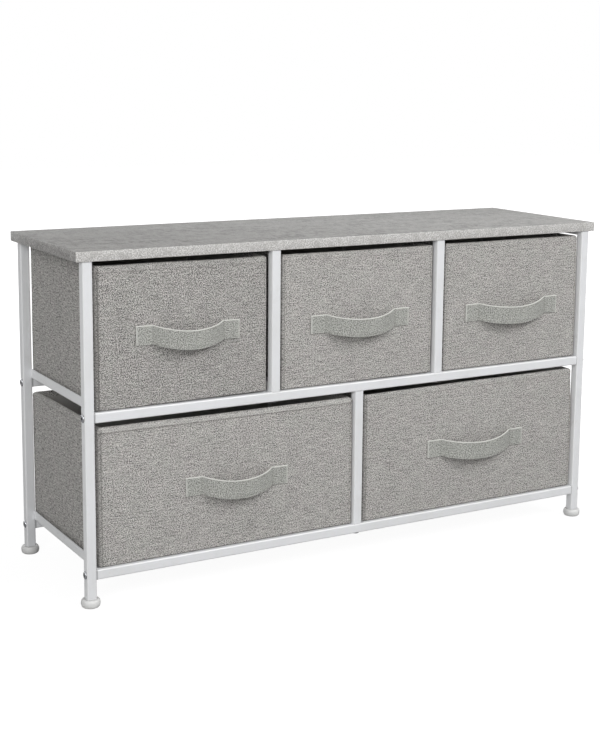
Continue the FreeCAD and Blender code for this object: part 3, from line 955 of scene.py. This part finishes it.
class Strap:
    """Line of one strap, from the box of its solid: tabs, tight bends and the bow between."""

    def __init__(self, name):
        low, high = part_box(f"handle_{name}")
        shift, lift, slope, length = DRAWERS[name]["strap"]
        self.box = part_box(f"cover_{name}")
        self.habit = DRAWERS[name]
        self.tilt = math.atan2(STRAP_SAG, STRAP_BOW)
        self.out = math.hypot(STRAP_SAG, STRAP_BOW)
        self.middle = (low.x + high.x) / 2 + shift * MM
        self.back = high.y - STRAP_RISE
        self.lower_edge = high.z - STRAP_HEIGHT + lift * MM
        self.slope = slope * MM
        self.span = (high.x - low.x) / 2 - STRAP_TAB
        self.stretch = (length / 2 * MM - STRAP_TAB) / self.span
        self.turn = 2 * math.atan(self.out / self.span)
        self.radius = self.span / math.sin(self.turn) - STRAP_BEND
        self.tab_start = (self.radius + STRAP_BEND) * self.turn
        self.half = self.tab_start + STRAP_TAB

    def place(self, along, up, out):
        """Point of the strap: along it from its middle, up from its lower edge, out from its
        back."""
        sign, along = (1, along) if along >= 0 else (-1, -along)
        if along < self.radius * self.turn:
            lean = along / self.radius
            x, rise = self.radius * math.sin(lean), self.out - self.radius * (1 - math.cos(lean))
        elif along < self.tab_start:
            lean = (self.tab_start - along) / STRAP_BEND
            x, rise = self.span - STRAP_BEND * math.sin(lean), STRAP_BEND * (1 - math.cos(lean))
        else:
            lean, x, rise = 0.0, self.span + along - self.tab_start, 0.0
        x = min(x, self.span) * self.stretch + max(x - self.span, 0.0) + out * math.sin(lean)
        forward = rise * math.cos(self.tilt) + out * math.cos(lean)
        drop = rise * math.sin(self.tilt) + self.slope * sign * x / self.span
        point = Vector((self.middle + sign * x, self.back - forward, self.lower_edge + up - drop))
        on_front = Vector((point.x, self.box[0].y, point.z))
        return point + settle(on_front, self.box, self.habit) - on_front


def strap_body(strap):
    bm = block((-strap.half, 0, 0), (strap.half, STRAP_THICK, STRAP_HEIGHT))
    round_edges(bm, bm.edges[:], 1.0 * MM, 3)
    slice_at(bm, 0, spread(2.0 * MM - strap.half, strap.half - 2.0 * MM, 3.5 * MM)
             + [strap.tab_start + d for d in TAB_CUTS] + [-strap.tab_start - d for d in TAB_CUTS])
    slice_at(bm, 2, both_ends(0.0, STRAP_HEIGHT, EDGE_CUTS)
             + spread(EDGE_CUTS[-1], STRAP_HEIGHT - EDGE_CUTS[-1], 4.0 * MM))
    cloth_coordinates(bm)
    seam = bm.verts.layers.float.new("seam")
    seed = strap.habit["seed"]
    for vertex in bm.verts:
        along, out, up = vertex.co
        beside = abs(along) - strap.tab_start
        # Painted shade in the stitched grooves and the crease, and a painted highlight along the
        # edges, strongest on the top edge and weakest on the bottom one.
        groove = max(0.6 * hump(beside, TAB_ROW, 0.9 * MM), 0.2 * hump(beside, CREASE_ROW, 1.4 * MM))
        edges = ((0.95, STRAP_HEIGHT - up), (0.5, strap.half - abs(along)), (0.2, up))
        painted_edge_highlight = max(share * (1 - step(inset, 1.1 * MM, 2.3 * MM)) for share, inset in edges)
        vertex[seam] = groove - painted_edge_highlight
        hollow = 0.3 * hump(up, STRAP_HEIGHT / 2, STRAP_HEIGHT / 2 - 2.0 * MM)
        row = 0.3 * max(hump(height, EDGE_ROW, 1.0 * MM) for height in (up, STRAP_HEIGHT - up))
        uneven = 0.25 * noise.noise(Vector((along, up, seed)) * 60)
        shift = (uneven - hollow - groove - row) * MM * out / STRAP_THICK
        limp = 0.5 * MM * noise.noise(Vector((along * 18, 0.0, seed)))
        vertex.co = strap.place(along, up + limp, out + shift)
    return bm


def strap_thread(strap):
    """Edge stitching along the strap, and rows across both ends of each tab."""
    flat = bmesh.new()
    face = STRAP_THICK - 0.25 * MM
    reach = strap.half - END_ROW
    for up in (EDGE_ROW, STRAP_HEIGHT - EDGE_ROW):
        stitches(flat, (-reach, face, up), (reach, face, up), (0, 0.2 * MM, 0))
    for sign in (-1, 1):
        for along in (strap.tab_start + TAB_ROW, reach):
            stitches(flat, (sign * along, face, ROW_TRIM),
                     (sign * along, face, STRAP_HEIGHT - ROW_TRIM), (0, 0.35 * MM, 0))
    for vertex in flat.verts:
        vertex.co = strap.place(vertex.co.x, vertex.co.z, vertex.co.y)
    return flat


strap_cloth = woven("strap_cloth", STRAP_PITCH, tone(70, 70, 68), tone(211, 212, 207), STRAP_HUES,
                    grit=3.7, slub=0.2, sheen=0.12)
for name in DRAWERS:
    strap = Strap(name)
    smooth(make_piece(f"strap_{name}", strap_body(strap), [strap_cloth], f"drawer_{name}",
                      [f"handle_{name}"]))
    make_piece(f"strap_thread_{name}", strap_thread(strap), [thread], f"drawer_{name}")


# ---- Studio ------------------------------------------------------------------------------
# A pale floor that fades to white away from the dresser, a broad soft light in front and to
# the right, another on the left, and a weak one overhead.  A low one behind, under the level
# of the board, lights the rear.

WHITE = (1.0, 1.0, 1.0, 1.0)
FLOOR_GREY = (0.5, 0.5, 0.5, 1.0)
FLOOR_GLOW = 1.24
FADE_START, FADE_END = 0.6, 1.4
ROOM_LIGHT = 0.2


def studio_floor():
    """Diffuse grey that takes shadows, most of it replaced by a white glow for the camera."""
    material, place = new_material("studio_floor")
    distance = place.node("ShaderNodeVectorMath", {"operation": "LENGTH"}, {0: place}, "Value")
    away = distance.between(FADE_START, FADE_END)
    shade = place.node("ShaderNodeBsdfDiffuse", {}, {"Color": FLOOR_GREY})
    glow = place.node("ShaderNodeEmission", {}, {"Color": WHITE, "Strength": FLOOR_GLOW})
    seen = place.node("ShaderNodeLightPath", {}, {}, "Is Camera Ray")
    share = (away * 0.24 + 0.76) * seen
    mixed = place.node("ShaderNodeMixShader", {}, {0: share, 1: shade, 2: glow})
    place.node("ShaderNodeOutputMaterial", {}, {"Surface": mixed})
    bm = bmesh.new()
    bmesh.ops.create_grid(bm, x_segments=4, y_segments=4, size=9.0)
    mesh = bpy.data.meshes.new("studio_floor")
    bm.to_mesh(mesh)
    bm.free()
    mesh.materials.append(material)
    floor = bpy.data.objects.new("studio_floor", mesh)
    bpy.context.scene.collection.objects.link(floor)


def studio_world():
    """A dim white room, which is full white where the camera or a reflection sees it."""
    world = bpy.data.worlds.new("studio_world")
    bpy.context.scene.world = world
    world.use_nodes = True
    world.node_tree.nodes.clear()
    path = world.node_tree.nodes.new("ShaderNodeLightPath")
    direct = Value(path.outputs["Is Camera Ray"]).math("MAXIMUM", Value(path.outputs["Is Glossy Ray"]))
    room = direct.node("ShaderNodeBackground", {}, {"Color": WHITE, "Strength": ROOM_LIGHT})
    white = direct.node("ShaderNodeBackground", {}, {"Color": WHITE, "Strength": 1.0})
    mixed = direct.node("ShaderNodeMixShader", {}, {0: direct, 1: room, 2: white})
    direct.node("ShaderNodeOutputWorld", {}, {"Surface": mixed})


def softbox(name, place, aim, width, height, power):
    """A rectangular lamp at a place, turned towards a point, with its power in watts."""
    lamp = bpy.data.lights.new(name, "AREA")
    lamp.shape = "RECTANGLE"
    lamp.size, lamp.size_y, lamp.energy = width, height, power
    holder = bpy.data.objects.new(name, lamp)
    bpy.context.scene.collection.objects.link(holder)
    turn = (Vector(aim) - Vector(place)).to_track_quat("-Z", "Y").to_matrix().to_4x4()
    holder.matrix_world = Matrix.Translation(place) @ turn


studio_floor()
studio_world()
softbox("front_light", (1.5, -2.7, 2.6), (0.0, 0.0, 0.3), 2.2, 1.6, 78.0)
softbox("left_light", (-2.8, -2.8, 1.8), (0.0, 0.0, 0.3), 1.8, 1.8, 78.0)
softbox("overhead_light", (0.2, -0.2, 2.8), (0.0, 0.0, 0.5), 2.4, 1.6, 12.0)
softbox("rear_light", (0.5, 2.6, 0.3), (0.0, 0.0, 0.3), 2.2, 0.45, 26.0)

# Camera: a short telephoto from the left and a little above, turned 30 degrees.
CAMERA_PLACE = (-1.23818, -2.11763, 0.82758)
CAMERA_YAW, CAMERA_PITCH, CAMERA_ROLL = -0.5311, 0.1614, 0.011
FOCAL_PIXELS, FRAME_WIDTH, FRAME_HEIGHT = 1410.12, 600, 733
CENTRE_X, CENTRE_Y = 320.0, 300.0
SENSOR = 36.0

lens = bpy.data.cameras.new("camera")
lens.sensor_width = SENSOR
lens.lens = FOCAL_PIXELS / FRAME_HEIGHT * SENSOR
lens.shift_x = (FRAME_WIDTH / 2 - CENTRE_X) / FRAME_HEIGHT
lens.shift_y = (CENTRE_Y - FRAME_HEIGHT / 2) / FRAME_HEIGHT
lens.clip_start, lens.clip_end = 0.05, 60.0

level = Vector((math.cos(CAMERA_YAW), math.sin(CAMERA_YAW), 0.0))
heading = Vector((-math.sin(CAMERA_YAW), math.cos(CAMERA_YAW), 0.0))
ahead = heading * math.cos(CAMERA_PITCH) - Vector((0, 0, math.sin(CAMERA_PITCH)))
upward = level.cross(ahead)
right = level * math.cos(CAMERA_ROLL) + upward * math.sin(CAMERA_ROLL)
above = upward * math.cos(CAMERA_ROLL) - level * math.sin(CAMERA_ROLL)
turn = Matrix((right, above, -ahead)).transposed().to_4x4()
camera = bpy.data.objects.new("camera", lens)
camera.matrix_world = Matrix.Translation(CAMERA_PLACE) @ turn
bpy.context.scene.collection.objects.link(camera)
bpy.context.scene.camera = camera
bpy.context.scene.view_settings.view_transform = "Standard"
